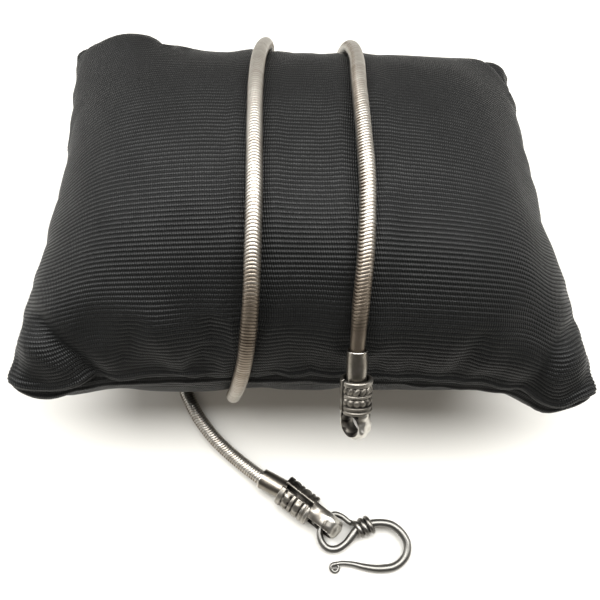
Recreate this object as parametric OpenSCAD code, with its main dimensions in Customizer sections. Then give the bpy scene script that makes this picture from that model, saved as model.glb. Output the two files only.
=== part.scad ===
// Snake chain necklace wound twice round a stuffed display cushion.
// The floor is z = 0. The cushion's middle is at x = 0, y = 0, its near edge faces -Y.

/* [Cushion] */
// Width of the cushion between its near ears
cushion_w = 101; // [98:0.5:104]
// Height of the crown above the seam
cushion_crown = 26; // [25.5:0.1:26.2]
// How far the stuffing would hang below the seam if the floor didn't flatten it
cushion_belly = 29; // [28:0.5:30]
// Height of the near ears' seam above the floor
near_ear_h = 23; // [22.8:0.1:23.2]

/* [Chain] */
// Diameter of the snake chain
chain_d = 2.7; // [2.4:0.05:2.8]
// Diameter of its smooth end at the loop end
chain_tip_d = 2.3; // [2.1:0.05:2.4]

/* [Loop end] */
// Outside diameter of the ferrule
loop_ferrule_d = 3.3; // [3.2:0.05:3.5]
// Outside diameter of the beaded barrel
loop_barrel_d = 5.3; // [5.2:0.05:5.5]
// Length of the beaded barrel
loop_barrel_l = 5.6; // [5.4:0.1:5.8]
// Width of the open seam in the barrel's rolled strip
loop_seam = 0.6; // [0.5:0.05:0.8]
// Outside diameter of the band eye
loop_eye_d = 4.6; // [4.5:0.05:4.7]
// Diameter of the hole through the band eye
loop_hole_d = 3.2; // [3:0.05:3.3]
// Width of the band eye along its hole
loop_eye_w = 2.8; // [2.6:0.1:3]
// How far the eye's middle lies beyond the barrel
loop_reach = 2.4; // [2.35:0.05:2.5]

/* [Hook end] */
// Outside diameter of the ferrule
hook_ferrule_d = 3.8; // [3.7:0.05:3.9]
// Outside diameter of the beaded barrel, which rests on the floor
hook_barrel_d = 5.8; // [5.8:0.05:5.9]
// Length of the beaded barrel
hook_barrel_l = 6.8; // [6.6:0.1:7]
// Width of the open seam in the barrel's rolled strip
hook_seam = 0.9; // [0.7:0.05:1.1]
// Outside diameter of the band eye
hook_eye_d = 4.9; // [4.9:0.05:5.1]
// Diameter of the hole through the band eye
hook_hole_d = 3.5; // [3.5:0.05:3.6]
// Width of the band eye along its hole
hook_eye_w = 3.4; // [3.2:0.1:3.5]
// How far the eye's middle lies beyond the barrel
hook_reach = 3.5; // [3.4:0.05:3.6]

/* [Beads] */
// Number of beads round a full row
beads_around = 14; // [13:1:15]

/* [Hook] */
// Thickness of the hook's wire in its arc
hook_wire_d = 1.4; // [1.3:0.05:1.4]
// Thickness of the binding wire
binding_wire_d = 0.85; // [0.7:0.05:0.85]
// Number of turns of the binding wire
binding_turns = 2.75; // [2.5:0.25:2.75]

/* [Hidden] */

slip = 0.1;         // clearance between metal pieces that are seated in each other
ferrule_wall = 0.22;
chain_in = 3;       // how deep the chain's ends sit in the ferrules
cup_depth = 1.1;    // depth of the barrels' mouths, where the ferrules sit
strip_t = 0.45;     // how high the ridges stand on a barrel's strip
cup_wall = 0.15;    // thickness of the strip between its ridges, round the ferrule

// Seam of the cushion: its four corners and how far the middle of each edge is pulled,
// as [across, depth, height]
near_left = [-cushion_w / 2, -36, near_ear_h];
near_right = [cushion_w / 2, -38, near_ear_h];
far_right = [45.5, 37, 28.5];
far_left = [-48.5, 38, 33];
near_pull = [0, 2.6, 1];
far_pull = [0, -2.5, -6.5];
left_pull = [2.2, 0, -1.5];
right_pull = [-1.4, 0, -0.5];

// Soft bumps of the top fabric: [u, v, height, spread]
puffs = [[-0.72, 0.84, 3.6, 0.22], [0.86, 0.86, 1.6, 0.15]];
// Lobes where the near edge sags beside an ear: [u, spread, forward, down]
lobes = [[0.86, 0.09, 1.8, 2], [-0.86, 0.12, 1, 1]];

lobe_fade = 12;     // the lobes fade out towards the corners, later with a higher power
puff_fade = 8;      // and so do the bumps, towards the seam

side_power = 3.2;   // how boxy the cushion is from side to side
side_round = 0.58;
front_power = 2.28; // and from front to back
front_round = 0.52;

// Each groove that the chain presses into the underside, as two points of its middle line
grooves = [[[4.4, 24], [-11.4, -24]], [[-12.4, 24], [-24.2, -24]]];
groove_h = 4.6;     // depth of a groove
groove_half = 5;    // half its width, where the tented fabric meets the floor
groove_top = 6;     // fabric higher than this doesn't touch the chain's run on the floor

columns = 44;       // steps of the cushion's mesh from side to side
rows = 30;          // and from front to back

function mix(a, b, t) = a * (1 - t) + b * t;
function bow(t) = 1 - t * t;
function swell(t, p, q) = pow(max(0, 1 - pow(abs(t), p)), q);
function bell(d, spread) = exp(-d * d / (spread * spread));

function near_lobe(u) = [0,
    -sum([for (l = lobes) l[2] * bell(u - l[0], l[1])]),
    -sum([for (l = lobes) l[3] * bell(u - l[0], l[1])])];
function near_edge(u) = mix(near_left, near_right, (u + 1) / 2) + near_pull * bow(u)
    + near_lobe(u) * bow(pow(abs(u), lobe_fade));
function far_edge(u) = mix(far_left, far_right, (u + 1) / 2) + far_pull * bow(u);
function left_edge(v) = mix(near_left, far_left, (v + 1) / 2) + left_pull * bow(v);
function right_edge(v) = mix(near_right, far_right, (v + 1) / 2) + right_pull * bow(v);

function sum(list, i = 0) = i < len(list) ? list[i] + sum(list, i + 1) : 0;

// The seam's surface at u from side to side and v from front to back, each -1 to 1
function seam_at(u, v) =
    let (s = (u + 1) / 2, w = (v + 1) / 2)
    mix(near_edge(u), far_edge(u), w) + mix(left_edge(v), right_edge(v), s)
    - mix(mix(near_left, near_right, s), mix(far_left, far_right, s), w);

function swell_at(u, v) = swell(u, side_power, side_round) * swell(v, front_power, front_round);

function puff_at(u, v) = sum([for (p = puffs)
    p[2] * bell(norm([u - p[0], v - p[1]]), p[3])])
    * swell(u, puff_fade, 1) * swell(v, puff_fade, 1);

function distance_to_line(p, a, b) = abs(cross(b - a, p - a)) / norm(b - a);

function groove_at(x, y) = max([for (g = grooves)
    let (d = distance_to_line([x, y], g[0], g[1]) / groove_half)
    groove_h * (1 - d * d)]);

function top_point(u, v) =
    let (p = seam_at(u, v))
    [p[0], p[1], p[2] + cushion_crown * swell_at(u, v) + puff_at(u, v)];

function under_point(u, v) =
    let (p = seam_at(u, v), low = p[2] - cushion_belly * swell_at(u, v))
    [p[0], p[1], low > groove_top ? low : max(low, groove_at(p[0], p[1]))];

// Mesh steps crowd towards the seam, where the cushion curves most
function step_at(i, n) = sin(90 * (2 * i / n - 1));

function sheet_points(top) = [for (j = [0 : rows], i = [0 : columns])
    let (u = step_at(i, columns), v = step_at(j, rows))
    i == 0 || i == columns || j == 0 || j == rows ? seam_at(u, v)
        : top ? top_point(u, v) : under_point(u, v)];

// Both sheets share the seam's points, so the under sheet's rim uses the top sheet's
function sheet_index(i, j, top) = j * (columns + 1) + i
    + (top || i == 0 || i == columns || j == 0 || j == rows ? 0 : (rows + 1) * (columns + 1));

// Each cell's diagonal runs away from the nearest corner, so that no triangle lies in the seam alone
function sheet_faces(top) = [for (j = [0 : rows - 1], i = [0 : columns - 1])
    let (a = sheet_index(i, j, top), b = sheet_index(i + 1, j, top),
         c = sheet_index(i + 1, j + 1, top), d = sheet_index(i, j + 1, top),
         cell = (i < columns / 2) == (j < rows / 2) ? [[a, d, c], [a, c, b]] : [[a, d, b], [b, d, c]])
    each top ? cell : [for (f = cell) [f[0], f[2], f[1]]]];

// A tube swept along a path, with a radius at each point and flat ends
path_side = [0.1, 0.2, 1]; // the tube's corners start from this side of its path
function unit(v) = v / norm(v);
function tangent(path, i) = unit(path[min(i + 1, len(path) - 1)] - path[max(i - 1, 0)]);
function square_to(v, t) = unit(v - t * (v * t));
function normals_along(path) = [
    for (i = 0, n = square_to(path_side, tangent(path, 0)); i < len(path);
         i = i + 1, n = i < len(path) ? square_to(n, tangent(path, i)) : n) n];

module tube(path, radii, sides) {
    normals = normals_along(path);
    points = [for (i = [0 : len(path) - 1], k = [0 : sides - 1])
        let (n = normals[i], b = cross(tangent(path, i), n), a = 360 * (k + 0.5) / sides)
        path[i] + radii[i] * (n * cos(a) + b * sin(a))];
    walls = [for (i = [0 : len(path) - 2], k = [0 : sides - 1])
        let (a = i * sides + k, b = i * sides + (k + 1) % sides)
        each [[a, b + sides, b], [a, a + sides, b + sides]]];
    last = (len(path) - 1) * sides;
    start_face = [for (k = [0 : sides - 1]) k];
    end_face = [for (k = [0 : sides - 1]) last + sides - 1 - k];
    polyhedron(points = points, faces = concat([start_face], walls, [end_face]));
}

// A smooth curve through points of any size, with each span split into parts
function curve_at(a, b, c, d, t) =
    0.5 * (2 * b + (c - a) * t + (2 * a - 5 * b + 4 * c - d) * t * t
           + (3 * b - a - 3 * c + d) * t * t * t);
function smooth(p, parts) = [
    for (i = [0 : len(p) - 2], k = [0 : parts - 1])
        curve_at(i > 0 ? p[i - 1] : 2 * p[0] - p[1], p[i], p[i + 1],
                 i < len(p) - 2 ? p[i + 2] : 2 * p[i + 1] - p[i], k / parts),
    p[len(p) - 1]];

// The chain's middle line, from the loop end to the hook end
route = [
    [9, -36.7, 32.6], [9, -34.7, 34.7], [9.4, -29.4, 40.4], [10, -23.2, 45.4], [10.4, -14, 49.2],
    [10.2, -4, 50.8], [10, 7, 50.6], [10.2, 17, 48.4], [9.8, 26, 43.8], [9, 32.8, 36.8],
    [7.8, 36.6, 27.6], [6.6, 35.8, 17.2], [5.7, 31.8, 7.2], [4.2, 24.8, 1.9], [1.8, 14, 1.5],
    [-8.8, -16, 1.5], [-11.4, -24.6, 1.9], [-12.8, -31, 7], [-12.3, -34.7, 15.2],
    [-10.6, -36, 23.4], [-8.9, -34.6, 31.4], [-7.7, -30.3, 39.3], [-7.2, -23.6, 45.1], [-7.05, -14, 49.3],
    [-7.3, -3, 50.9], [-7.5, 8, 50.7], [-7.3, 18, 48.5], [-6.6, 27, 43.7], [-6.8, 33.8, 35.8],
    [-7.8, 36.8, 26.6], [-9.4, 35.4, 16.2], [-11, 31, 6.8], [-12.7, 24.2, 1.9], [-15.4, 12, 1.5],
    [-23.4, -17, 1.4], [-25, -25, 1.4], [-22.2, -32, 1.4],
    [-18.2, -37.6, 1.4], [-13.3, -42.3, 1.7], [-7.1, -47.1, 2.8], [-4.9, -48.2, 2.9]];
chain_sides = 8;
route_parts = 2;    // rings of the chain's solid from one point to the next
taper_rings = [1, 4]; // the chain's end swells to its full size between these rings

// Places of the caps: where a barrel's open rim is and which way its axis runs from there
loop_rim = [9, -38, 31.4];
loop_slope = 46;    // degrees below level, towards the front
hook_rim = [-3.2, -49, hook_barrel_d / 2];
hook_heading = -37;
hook_ferrule_heading = -28;
loop_ferrule_l = 5.8;
hook_ferrule_l = 5.4;
hook_ferrule_in = 0.7; // how deep the turned ferrule sits in its barrel

// Turns about a cap's axis: the seam in its strip and the hole of its eye
loop_seam_turn = 157;
loop_hole_turn = 138;
hook_seam_turn = 168;
hook_hole_turn = 90;

// Rows of a barrel, as fractions of its length: plain ridges [from, to] and bead rows
ridges = [[0, 0.16], [0.385, 0.505], [0.745, 0.86], [0.885, 1]];
bead_rows = [0.272, 0.625];
seam_end = 0.9;     // the seam's slot ends at the soldered lip
seam_cut = 0.12;    // how far the slot reaches below the strip
bead_fill = 0.95;   // share of its place in a row that a bead fills
ridge_bevel = 0.12;
eye_lip = 0.2;      // how far the eye's root reaches into the barrel
eye_root = 0.86;    // height of the eye's root, as a fraction of its outside diameter

// The hook's middle line seen from above, with the wire's radius at each point
full_r = hook_wire_d / 2;
hook_line = [
    [9.2, -54.9, 0.48], [7.9, -53.9, 0.5], [6.4, -53.5, 0.52], [5, -54.5, 0.54], [3.8, -56.2, 0.56],
    [3.9, -58, 0.6], [5.1, -59.3, 0.62], [6.9, -59.4, 0.64], [8.6, -58.4, 0.66], [9.8, -57.1, full_r],
    [10.7, -56.1, full_r], [12.1, -55.6, full_r], [13.5, -55.1, full_r], [15.4, -55, full_r],
    [17.2, -55.4, full_r], [18.8, -56.6, full_r], [19.8, -58.3, full_r], [19.7, -60.1, full_r],
    [18.7, -61.5, full_r], [17.2, -62.4, full_r], [15.4, -62.7, full_r], [13.6, -62.7, 0.68],
    [11.6, -62.4, 0.6], [9.8, -62, 0.5], [8, -61.8, 0.44], [6.9, -61.9, 0.4]];
curl_r = 0.55;      // radius of the small scroll at the hook's tip
curl_middle = [6.4, -62.5];
curl_start = 110;
curl_turn = 205;
curl_steps = 6;
tip_r = 0.3;
hook_parts = 2;     // rings of the hook's solid from one point to the next
// The tilted hook rests on its arc and its tip, and its loop hangs in the eye
hook_low = [15.8, -62.7, 0.75];
hook_tilt = [0.007, 0.181];
function hook_height(x, y) = hook_low[2] + hook_tilt * [x - hook_low[0], y - hook_low[1]];
function lifted(p) = [p[0], p[1], hook_height(p[0], p[1])];
binding_from = [10.7, -56.1];
binding_to = [13.4, -55.15];
binding_side = [0, 1, 0]; // the side of the neck where the binding starts
binding_sides = 8;
binding_steps = 14; // rings in each turn
hook_sides = 10;
overlap = 1;        // how far cutting tools run past what they cut

module cushion() {
    color("#232326") difference() {
        polyhedron(points = concat(sheet_points(true), sheet_points(false)),
                   faces = concat(sheet_faces(true), sheet_faces(false)));
        // The floor flattens the underside
        translate([-cushion_w, -cushion_w, -cushion_w]) cube([2 * cushion_w, 2 * cushion_w, cushion_w]);
    }
}

module chain() {
    path = smooth(route, route_parts);
    taper = taper_rings[1] - taper_rings[0];
    radii = [for (i = [0 : len(path) - 1])
        mix(chain_tip_d, chain_d, min(1, max(0, (i - taper_rings[0]) / taper))) / 2];
    color("#a9a49b") tube(path, radii, chain_sides);
}

// A plain closed tube: its mouth is at z = 0 and it reaches up to z = length
module ferrule(d, length) {
    difference() {
        cylinder(d = d, h = length);
        translate([0, 0, -overlap]) cylinder(d = d - 2 * ferrule_wall, h = overlap + chain_in + slip);
    }
}

// A barrel and its eye: the open rim is at z = 0 and the eye lies beyond z = length
module cap(d, length, seam, seam_turn, eye_d, hole_d, eye_w, reach, hole_turn) {
    r = d / 2;
    base_r = r - strip_t;
    bead_r = bead_fill * PI * r / (beads_around + PI);
    difference() {
        union() {
            rotate_extrude() polygon([[0, 0], [base_r, 0], [base_r, length], [0, length]]);
            for (ridge = ridges) barrel_ridge(r, ridge[0] * length, ridge[1] * length);
            for (row = bead_rows, k = [1 : beads_around - 1])
                rotate([0, 0, seam_turn + 360 * k / beads_around])
                    translate([r - bead_r, 0, row * length]) sphere(r = bead_r);
            rotate([0, 0, hole_turn - 90]) eye_band(eye_d, eye_w, length, reach);
        }
        translate([0, 0, -overlap]) cylinder(r = base_r - cup_wall, h = overlap + cup_depth);
        rotate([0, 0, seam_turn]) translate([base_r - cup_wall - seam_cut, -seam / 2, -overlap])
            cube([r, seam, overlap + length * seam_end]);
        translate([0, 0, length + reach]) rotate([0, 0, hole_turn - 90]) rotate([90, 0, 0])
            cylinder(d = hole_d, h = 2 * eye_w, center = true);
    }
}

module barrel_ridge(r, from, to) {
    rotate_extrude() polygon([
        [0, from], [r - ridge_bevel, from], [r, from + ridge_bevel],
        [r, to - ridge_bevel], [r - ridge_bevel, to], [0, to]]);
}

module eye_band(d, w, length, reach) {
    translate([0, w / 2, length + reach]) rotate([90, 0, 0]) cylinder(d = d, h = w);
    translate([-eye_root * d / 2, -w / 2, length - eye_lip])
        cube([eye_root * d, w, reach + eye_lip]);
}

module at_loop_end() {
    translate(loop_rim) rotate([90 + loop_slope, 0, 0]) children();
}

module loop_end_ferrule() {
    color("#8f877a") at_loop_end()
        translate([0, 0, cup_depth - slip - loop_ferrule_l]) ferrule(loop_ferrule_d, loop_ferrule_l);
}

module loop_end_cap() {
    color("#9c958b") at_loop_end()
        cap(loop_barrel_d, loop_barrel_l, loop_seam, loop_seam_turn,
            loop_eye_d, loop_hole_d, loop_eye_w, loop_reach, loop_hole_turn);
}

module hook_end_ferrule() {
    seat = hook_ferrule_in * [cos(hook_heading), sin(hook_heading), 0];
    color("#8f877a") translate(hook_rim + seat) rotate([0, 90, hook_ferrule_heading])
        translate([0, 0, -hook_ferrule_l]) ferrule(hook_ferrule_d, hook_ferrule_l);
}

module hook_end_cap() {
    color("#9c958b") translate(hook_rim) rotate([0, 90, hook_heading])
        cap(hook_barrel_d, hook_barrel_l, hook_seam, hook_seam_turn,
            hook_eye_d, hook_hole_d, hook_eye_w, hook_reach, hook_hole_turn);
}

module hook() {
    line = smooth(hook_line, hook_parts);
    curl_from = line[len(line) - 1][2];
    curl = [for (k = [1 : curl_steps]) let (a = curl_start + curl_turn * k / curl_steps)
        [curl_middle[0] + curl_r * cos(a), curl_middle[1] + curl_r * sin(a),
         mix(curl_from, tip_r, k / curl_steps)]];
    points = concat(line, curl);
    color("#b5b0a8")
        tube([for (p = points) lifted(p)], [for (p = points) p[2]], hook_sides);
}

module hook_binding() {
    from = lifted(binding_from);
    to = lifted(binding_to);
    axis = unit(to - from);
    side = square_to(binding_side, axis);
    up = cross(axis, side);
    turn_r = full_r + slip + binding_wire_d / 2;
    steps = round(binding_turns * binding_steps);
    path = [for (k = [0 : steps]) let (a = 360 * k / binding_steps)
        mix(from, to, k / steps) + turn_r * (side * cos(a) + up * sin(a))];
    color("#7d776f")
        tube(path, [for (p = path) binding_wire_d / 2], binding_sides);
}

cushion();
chain();
loop_end_ferrule();
loop_end_cap();
hook_end_ferrule();
hook_end_cap();
hook();
hook_binding();
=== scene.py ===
import math
from types import SimpleNamespace

import bpy
import numpy as np
from mathutils import Matrix, Vector
from mathutils.kdtree import KDTree


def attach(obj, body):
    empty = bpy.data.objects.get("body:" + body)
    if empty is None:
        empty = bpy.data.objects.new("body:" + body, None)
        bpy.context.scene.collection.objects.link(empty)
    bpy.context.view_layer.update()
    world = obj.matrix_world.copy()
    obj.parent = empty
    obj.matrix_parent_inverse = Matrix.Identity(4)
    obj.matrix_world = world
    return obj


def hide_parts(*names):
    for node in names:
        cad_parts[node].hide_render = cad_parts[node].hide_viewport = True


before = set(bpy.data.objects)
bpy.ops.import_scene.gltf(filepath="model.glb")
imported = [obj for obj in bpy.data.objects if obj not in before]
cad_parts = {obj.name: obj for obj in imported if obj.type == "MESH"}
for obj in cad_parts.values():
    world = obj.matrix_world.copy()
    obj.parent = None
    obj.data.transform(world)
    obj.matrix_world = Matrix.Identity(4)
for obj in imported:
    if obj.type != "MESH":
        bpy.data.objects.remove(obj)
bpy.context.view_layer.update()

# Shapes are worked out in mm, lights and the floor in metres
MM = 0.001
TAU = 2 * math.pi
UP = (0, 0, 1)


# Maths helpers

def vec(*values):
    return np.array(values, float)


def unit(v):
    return v / np.maximum(np.linalg.norm(v, axis=-1, keepdims=True), 1e-12)


def mix(a, b, t):
    return a * (1 - t) + b * t


def smoothstep(start, stop, x):
    t = np.clip((np.asarray(x, float) - start) / (stop - start), 0, 1)
    return t * t * (3 - 2 * t)


def bell(distance, spread):
    return np.exp(-(distance / spread) ** 2)


def follow(table, x):
    """Reads a table of (x, value) rows, straight between them."""
    at, values = zip(*table)
    return np.interp(x, at, values)


def waves(seed, count, low, high, dims):
    """A smooth random function of dims coordinates: a sum of sines with wave numbers from low to high."""
    rng = np.random.default_rng(seed)
    numbers = rng.normal(size=(count, dims))
    numbers = numbers / np.linalg.norm(numbers, axis=1, keepdims=True) * rng.uniform(low, high, (count, 1))
    phases = rng.uniform(0, TAU, count)
    scale = 1 / math.sqrt(count / 2)

    def value(*x):
        total = 0
        for number, phase in zip(numbers, phases):
            total = total + np.sin(sum(number[j] * x[j] for j in range(dims)) + phase)
        return total * scale
    return value


def spline(points, parts):
    """A smooth curve through points of any number of columns, each span split into parts."""
    p = np.asarray(points, float)
    q = np.vstack([2 * p[0] - p[1], p, 2 * p[-1] - p[-2]])
    curve = []
    for a, b, c, d in zip(q, q[1:], q[2:], q[3:]):
        for k in range(parts):
            t = k / parts
            curve.append(0.5 * (2 * b + (c - a) * t + (2 * a - 5 * b + 4 * c - d) * t * t
                                + (3 * b - a - 3 * c + d) * t ** 3))
    curve.append(p[-1])
    return np.array(curve)


def lengths(path):
    """The distance along a path to each of its points."""
    return np.concatenate([[0], np.cumsum(np.linalg.norm(np.diff(path, axis=0), axis=1))])


def resample(path, s):
    """The path's points at distances s along it."""
    at = lengths(path)
    return np.stack([np.interp(s, at, path[:, i]) for i in range(path.shape[1])], 1)


def path_frames(path, first):
    """Tangents, twist-free normals and binormals along a path. The first normal leans towards first."""
    tangents = unit(np.gradient(path, axis=0))
    normal = np.array(first, float)
    normals = []
    for tangent in tangents:
        normal = normal - tangent * (normal @ tangent)
        normal = normal / np.linalg.norm(normal)
        normals.append(normal)
    normals = np.array(normals)
    return tangents, normals, np.cross(tangents, normals)


def rotation(*turns):
    """Matrix of turns applied in order, each (axis, degrees)."""
    matrix = np.eye(3)
    for axis, degrees in turns:
        matrix = np.array(Matrix.Rotation(math.radians(degrees), 3, axis)) @ matrix
    return matrix


def placing(matrix, origin, lift=0):
    """A function that lifts points along z, then turns them and moves them to an origin."""
    def place(points):
        return (points + vec(0, 0, lift)) @ matrix.T + np.array(origin, float)
    return place


# Mesh helpers

def add_mesh(name, verts, faces, attributes, material, node):
    """Adds a piece that stands for a node. Each attribute has a number or a vector at every point."""
    mesh = bpy.data.meshes.new(name)
    mesh.from_pydata((np.asarray(verts) * MM).tolist(), [], [list(map(int, face)) for face in faces])
    for key, values in attributes.items():
        values = np.asarray(values, np.float32)
        if values.ndim == 1:
            mesh.attributes.new(key, "FLOAT", "POINT").data.foreach_set("value", values)
        else:
            mesh.attributes.new(key, "FLOAT_VECTOR", "POINT").data.foreach_set("vector", values.ravel())
    mesh.update()
    mesh.shade_smooth()
    mesh.materials.append(material)
    obj = bpy.data.objects.new(name, mesh)
    bpy.context.scene.collection.objects.link(obj)
    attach(obj, "root")
    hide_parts(node)
    return obj


def border_of(rows, columns):
    """A grid that is true along its four sides."""
    return np.pad(np.zeros((rows - 2, columns - 2), bool), 1, constant_values=True)


def sew_panels(border):
    """Faces of two panels that share the points of their border, and which of all points those faces use."""
    top = np.arange(border.size).reshape(border.shape)
    under = np.where(border, top, top + border.size)
    faces = []
    for index in (top, under):
        corners = [index[:-1, :-1], index[:-1, 1:], index[1:, 1:], index[1:, :-1]]
        faces.append(np.stack(corners, -1).reshape(-1, 4))
    faces = np.concatenate([faces[0], faces[1][:, ::-1]])
    used = np.zeros(2 * border.size, bool)
    used[faces.ravel()] = True
    return (np.cumsum(used) - 1)[faces], used


def grid_faces(rows, columns, loop_rows, loop_columns, start, flip):
    """Quads of a grid of points, whose rows or columns may close into a loop."""
    i = np.arange(rows if loop_rows else rows - 1)[:, None]
    j = np.arange(columns if loop_columns else columns - 1)[None, :]
    i_next, j_next = (i + 1) % rows, (j + 1) % columns
    corners = [i * columns + j, i_next * columns + j, i_next * columns + j_next, i * columns + j_next]
    quads = np.stack(corners, -1).reshape(-1, 4) + start
    return quads[:, ::-1] if flip else quads


class Parts:
    """Collects patches of one piece, with a value at each point for its wear and, in places, painted shade.
    """

    def __init__(self):
        self.verts, self.faces, self.wear, self.count = [], [], [], 0

    def patch(self, points, wear, loop_rows=False, loop_columns=False, flip=False):
        rows, columns = points.shape[:2]
        start = self.count
        self.verts.append(points.reshape(-1, 3))
        self.wear.append(np.broadcast_to(wear, (rows, columns)).reshape(-1))
        self.faces += grid_faces(rows, columns, loop_rows, loop_columns, start, flip).tolist()
        self.count += rows * columns
        return start

    def closed_tube(self, points, wear, flip=False):
        """A patch whose rows are rings, with a face over its first and last ring."""
        rows, sides = points.shape[:2]
        start = self.patch(points, wear, loop_columns=True, flip=flip)
        first = list(range(start, start + sides))
        last = list(range(start + (rows - 1) * sides, start + rows * sides))
        self.faces += [first, last[::-1]] if flip else [first[::-1], last]

    def lathe(self, rows, sides, wobble=0):
        """A closed ring of revolution from rows of (radius, z, wear). wobble is added to the radius."""
        radius, z, wear = np.asarray(rows, float).T[:, :, None]
        angle = TAU * np.arange(sides) / sides
        radius = radius * np.ones(sides) + wobble
        points = np.stack([radius * np.cos(angle), radius * np.sin(angle), z * np.ones(sides)], -1)
        self.patch(points, wear, loop_rows=True, loop_columns=True)

    def make(self, name, material, slot, node, place=None):
        verts = np.concatenate(self.verts)
        if place is not None:
            verts = place(verts)
        return add_mesh(name, verts, self.faces, {"wear": np.concatenate(self.wear)}, material, node)


END_DOME = 0.7  # height of a wire's rounded end, as a share of its radius
END_TIP = 0.02  # radius of the last ring there, as a share


def rounded_end(centre, outward, radius, ring, steps):
    """Rings that close a tube's end, from the tube outwards."""
    rings = []
    for step in range(1, steps + 1):
        lean = 0.5 * math.pi * step / steps
        shrink = max(math.cos(lean), END_TIP)
        rise = outward * radius.mean() * math.sin(lean) * END_DOME
        rings.append(centre + radius[:, None] * shrink * ring + rise)
    return np.array(rings)


def wire(path, radii, sides, wear, end_steps, ripple):
    """A round wire along a path. ripple(distance, angle) changes its radius."""
    tangents, normals, binormals = path_frames(path, UP)
    angle = TAU * np.arange(sides) / sides
    radius = radii[:, None] * ripple(lengths(path)[:, None], angle[None, :])
    ring = normals[:, None] * np.cos(angle)[None, :, None] + binormals[:, None] * np.sin(angle)[None, :, None]
    start = rounded_end(path[0], -tangents[0], radius[0], ring[0], end_steps)[::-1]
    stop = rounded_end(path[-1], tangents[-1], radius[-1], ring[-1], end_steps)
    rings = np.concatenate([start, path[:, None] + radius[..., None] * ring, stop])
    parts = Parts()
    parts.closed_tube(rings, wear, flip=True)
    return parts


def hammered(seed, count, low, high, depth, reach):
    """A ripple for a wire: the flats that a hammer leaves."""
    facet = waves(seed, count, low, high, 2)

    def ripple(s, angle):
        return 1 + depth * facet(s, reach * np.cos(angle))
    return ripple


# Materials

class Nodes:
    """Adds nodes to a node tree. Values and other nodes' outputs are fed to inputs in the same way."""

    def __init__(self, tree):
        self.tree = tree

    def fill(self, node, inputs):
        for key, value in inputs.items():
            if isinstance(value, bpy.types.NodeSocket):
                self.tree.links.new(value, node.inputs[key])
            else:
                node.inputs[key].default_value = value
        return node

    def add(self, kind, inputs=None, **settings):
        node = self.tree.nodes.new(kind)
        for key, value in settings.items():
            setattr(node, key, value)
        return self.fill(node, inputs or {})

    def math(self, operation, *values, clamp=False):
        node = self.add("ShaderNodeMath", dict(enumerate(values)), operation=operation, use_clamp=clamp)
        return node.outputs[0]

    def centred(self, value, amount):
        """How far a value is above a half, times the amount."""
        return self.math("MULTIPLY", self.math("SUBTRACT", value, 0.5), amount)

    def attribute(self, name, output):
        return self.add("ShaderNodeAttribute", attribute_name=name).outputs[output]

    def coordinates(self, output):
        return self.add("ShaderNodeTexCoord").outputs[output]

    def split(self, vector):
        return self.add("ShaderNodeSeparateXYZ", {0: vector}).outputs

    def noise(self, scale, detail, roughness=0.55):
        where = self.coordinates("Object")
        inputs = {"Vector": where, "Scale": scale, "Detail": detail, "Roughness": roughness}
        return self.add("ShaderNodeTexNoise", inputs).outputs["Fac"]

    def map_range(self, value, low, high):
        inputs = {"Value": value, "To Min": low, "To Max": high}
        return self.add("ShaderNodeMapRange", inputs).outputs["Result"]

    def bump(self, height, strength, distance):
        inputs = {"Height": height, "Strength": strength, "Distance": distance}
        return self.add("ShaderNodeBump", inputs).outputs["Normal"]

    def ramp(self, value, stops):
        node = self.add("ShaderNodeValToRGB", {"Fac": value})
        elements = node.color_ramp.elements
        while len(elements) < len(stops):
            elements.new(0.5)
        for element, (at, colour) in zip(elements, stops):
            element.position = at
            element.color = (*colour, 1)
        return node.outputs["Color"]


def shader(name):
    """A new material, its nodes and its shader."""
    material = bpy.data.materials.new(name)
    material.use_nodes = True
    return material, Nodes(material.node_tree), material.node_tree.nodes["Principled BSDF"]


SPOT_SCALE, CLOUD_SCALE, SCRATCH_SCALE = 700, 119, 2600
SCRATCH_DEPTH = 0.04
MIDDLE_WEAR = 0.45  # the value of wear and painted shade that the middle colour belongs to


def silver(name, dark, middle, bright, rough_worn, rough_dark, spots=0.5):
    """Worn silver: bright where the value is high, with dark patina in the recesses. The value is the piece's
    wear, and in places painted shade.
    """
    material, nodes, bsdf = shader(name)
    spot = nodes.centred(nodes.noise(SPOT_SCALE, 4, 0.6), spots)
    cloud = nodes.centred(nodes.noise(CLOUD_SCALE, 2), spots)
    wear_and_painted_shade = nodes.math("ADD", nodes.attribute("wear", "Fac"), spot)
    wear_and_painted_shade = nodes.math("ADD", wear_and_painted_shade, cloud, clamp=True)
    nodes.fill(bsdf, {
        "Base Color": nodes.ramp(wear_and_painted_shade, [(0, dark), (MIDDLE_WEAR, middle), (1, bright)]), "Metallic": 1.0,
        "Roughness": nodes.map_range(wear_and_painted_shade, rough_dark, rough_worn),
        "Normal": nodes.bump(nodes.noise(SCRATCH_SCALE, 3, 0.7), 0.25, SCRATCH_DEPTH * MM)})
    return material


THREAD_PITCH = 0.38  # of the threads wound across a rib
THREAD_DEPTH = 0.08
THREAD_SHARPNESS = 1.6
# Colour of the cloth from the groove to the top of a thread: painted shade in the groove, a painted highlight
# on the thread
CLOTH_COLOURS = [
    (0, (0.0003, 0.0003, 0.0004)), (0.5, (0.0014, 0.0015, 0.0015)), (1, (0.009, 0.0096, 0.0094))]
GROOVE_ROUGHNESS, THREAD_ROUGHNESS = 0.7, 0.2


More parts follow.
